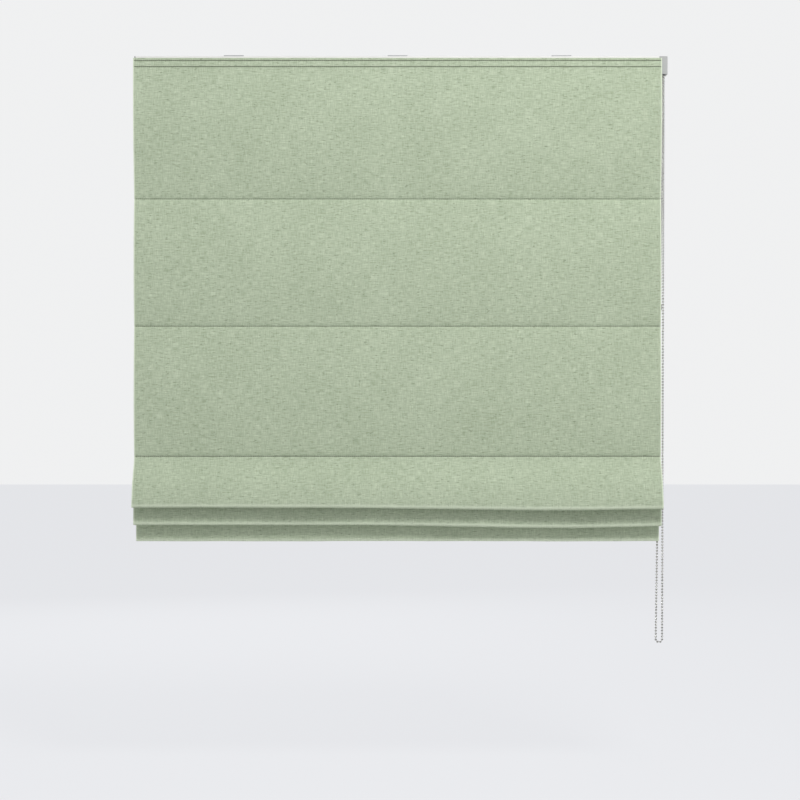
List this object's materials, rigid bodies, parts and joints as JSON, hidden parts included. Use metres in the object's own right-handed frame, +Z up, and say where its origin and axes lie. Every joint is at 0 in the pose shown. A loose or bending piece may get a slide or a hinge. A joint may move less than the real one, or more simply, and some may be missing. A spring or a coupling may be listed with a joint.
{
  "type": "roman blind",
  "caption": "Soft-fold roman blind: sage fabric with stitched rod seams, stacked folds, headrail and nickel bead-chain drive.",
  "frame": {"origin": "ceiling plane, midway between the two screws of the centre bracket", "axes": "+X along the headrail towards the chain, -Y towards the room, +Z up"},
  "size_m": [1.0755, 0.0592, 1.1869],
  "materials": {
    "rail_aluminium": "white powder coat",
    "bracket_steel": "zinc plated",
    "housing_plastic": "fine matt",
    "drive_plastic": "moulded, satin",
    "spring_steel": "bright drawn wire",
    "shaft_steel": "zinc plated",
    "tape_white": "woven nylon",
    "lift_cord": "braided polyester",
    "chain_nickel": "nickel plated",
    "face_fabric": "sage linen look weave",
    "lining_fabric": "off-white sateen",
    "rod_fibreglass": "smooth pultruded",
    "clear_plastic": "translucent moulded",
    "bar_steel": "white lacquer"
  },
  "bodies": {
    "headrail": {"headrail": "rail_aluminium", "end_cap_left": "housing_plastic", "control_housing": "housing_plastic", "control_cover": "housing_plastic", "bracket_left": "bracket_steel", "bracket_centre": "bracket_steel", "bracket_right": "bracket_steel", "spool_cradle_left": "drive_plastic", "spool_cradle_centre": "drive_plastic", "spool_cradle_right": "drive_plastic", "hook_tape": "tape_white", "loop_tape": "tape_white", "face_panel_1": "face_fabric", "lining_panel_1": "lining_fabric", "lift_cord_left": "lift_cord", "lift_cord_centre": "lift_cord", "lift_cord_right": "lift_cord", "pull_chain": "chain_nickel", "chain_connector": "chain_nickel"},
    "drive": {"drive_shaft": "shaft_steel", "chain_wheel": "drive_plastic", "clutch_spring": "spring_steel", "cord_spool_left": "drive_plastic", "cord_spool_centre": "drive_plastic", "cord_spool_right": "drive_plastic", "wound_cords": "lift_cord"},
    "rod_1_group": {"rod_1": "rod_fibreglass", "rod_caps_1": "clear_plastic", "rod_pocket_1": "lining_fabric", "cord_rings_1": "clear_plastic", "face_panel_2": "face_fabric", "lining_panel_2": "lining_fabric"},
    "rod_2_group": {"rod_2": "rod_fibreglass", "rod_caps_2": "clear_plastic", "rod_pocket_2": "lining_fabric", "cord_rings_2": "clear_plastic", "face_panel_3": "face_fabric", "lining_panel_3": "lining_fabric"},
    "rod_3_group": {"rod_3": "rod_fibreglass", "rod_caps_3": "clear_plastic", "rod_pocket_3": "lining_fabric", "cord_rings_3": "clear_plastic", "face_panel_4": "face_fabric", "lining_panel_4": "lining_fabric"},
    "rod_4_group": {"rod_4": "rod_fibreglass", "rod_caps_4": "clear_plastic", "rod_pocket_4": "lining_fabric", "cord_rings_4": "clear_plastic", "face_panel_5": "face_fabric", "lining_panel_5": "lining_fabric"},
    "rod_5_group": {"rod_5": "rod_fibreglass", "rod_caps_5": "clear_plastic", "rod_pocket_5": "lining_fabric", "cord_rings_5": "clear_plastic", "face_hem": "face_fabric", "lining_hem": "lining_fabric", "bottom_bar": "bar_steel", "bottom_bar_caps": "clear_plastic", "cord_stops": "clear_plastic"}
  },
  "joints": [
    {"name": "drive_turn", "type": "hinge", "parent": "headrail", "child": "drive", "pos_m": [0, 0, -0.02], "axis": [1, 0, 0], "range_deg": [0, 3939.77], "deforming": ["lift_cord_left", "lift_cord_centre", "lift_cord_right"]},
    {"name": "rod_1_lift", "type": "slide", "parent": "headrail", "child": "rod_1_group", "axis": [0, 0, 1], "range_m": [0, 0.242], "deforming": ["face_panel_1", "lining_panel_1"]},
    {"name": "rod_2_lift", "type": "slide", "parent": "rod_1_group", "child": "rod_2_group", "axis": [0, 0, 1], "range_m": [0, 0.237], "deforming": ["face_panel_2", "lining_panel_2"]},
    {"name": "rod_3_lift", "type": "slide", "parent": "rod_2_group", "child": "rod_3_group", "axis": [0, 0, 1], "range_m": [0, 0.243], "deforming": ["face_panel_3", "lining_panel_3"]},
    {"name": "rod_4_lift", "type": "slide", "parent": "rod_3_group", "child": "rod_4_group", "axis": [0, 0, 1], "range_m": [-0.185, 0], "deforming": ["face_panel_4", "lining_panel_4"]},
    {"name": "rod_5_lift", "type": "slide", "parent": "rod_4_group", "child": "rod_5_group", "axis": [0, 0, 1], "range_m": [-0.204, 0], "deforming": ["face_panel_5", "lining_panel_5"]}
  ],
  "couplings": [
    {"joint": "drive_turn", "follows": "rod_1_lift", "rad_per_m": 284.14},
    {"joint": "rod_2_lift", "follows": "rod_1_lift", "ratio": 0.97934},
    {"joint": "rod_3_lift", "follows": "rod_1_lift", "ratio": 1.0041},
    {"joint": "rod_5_lift", "follows": "rod_4_lift", "ratio": 1.1027}
  ]
}
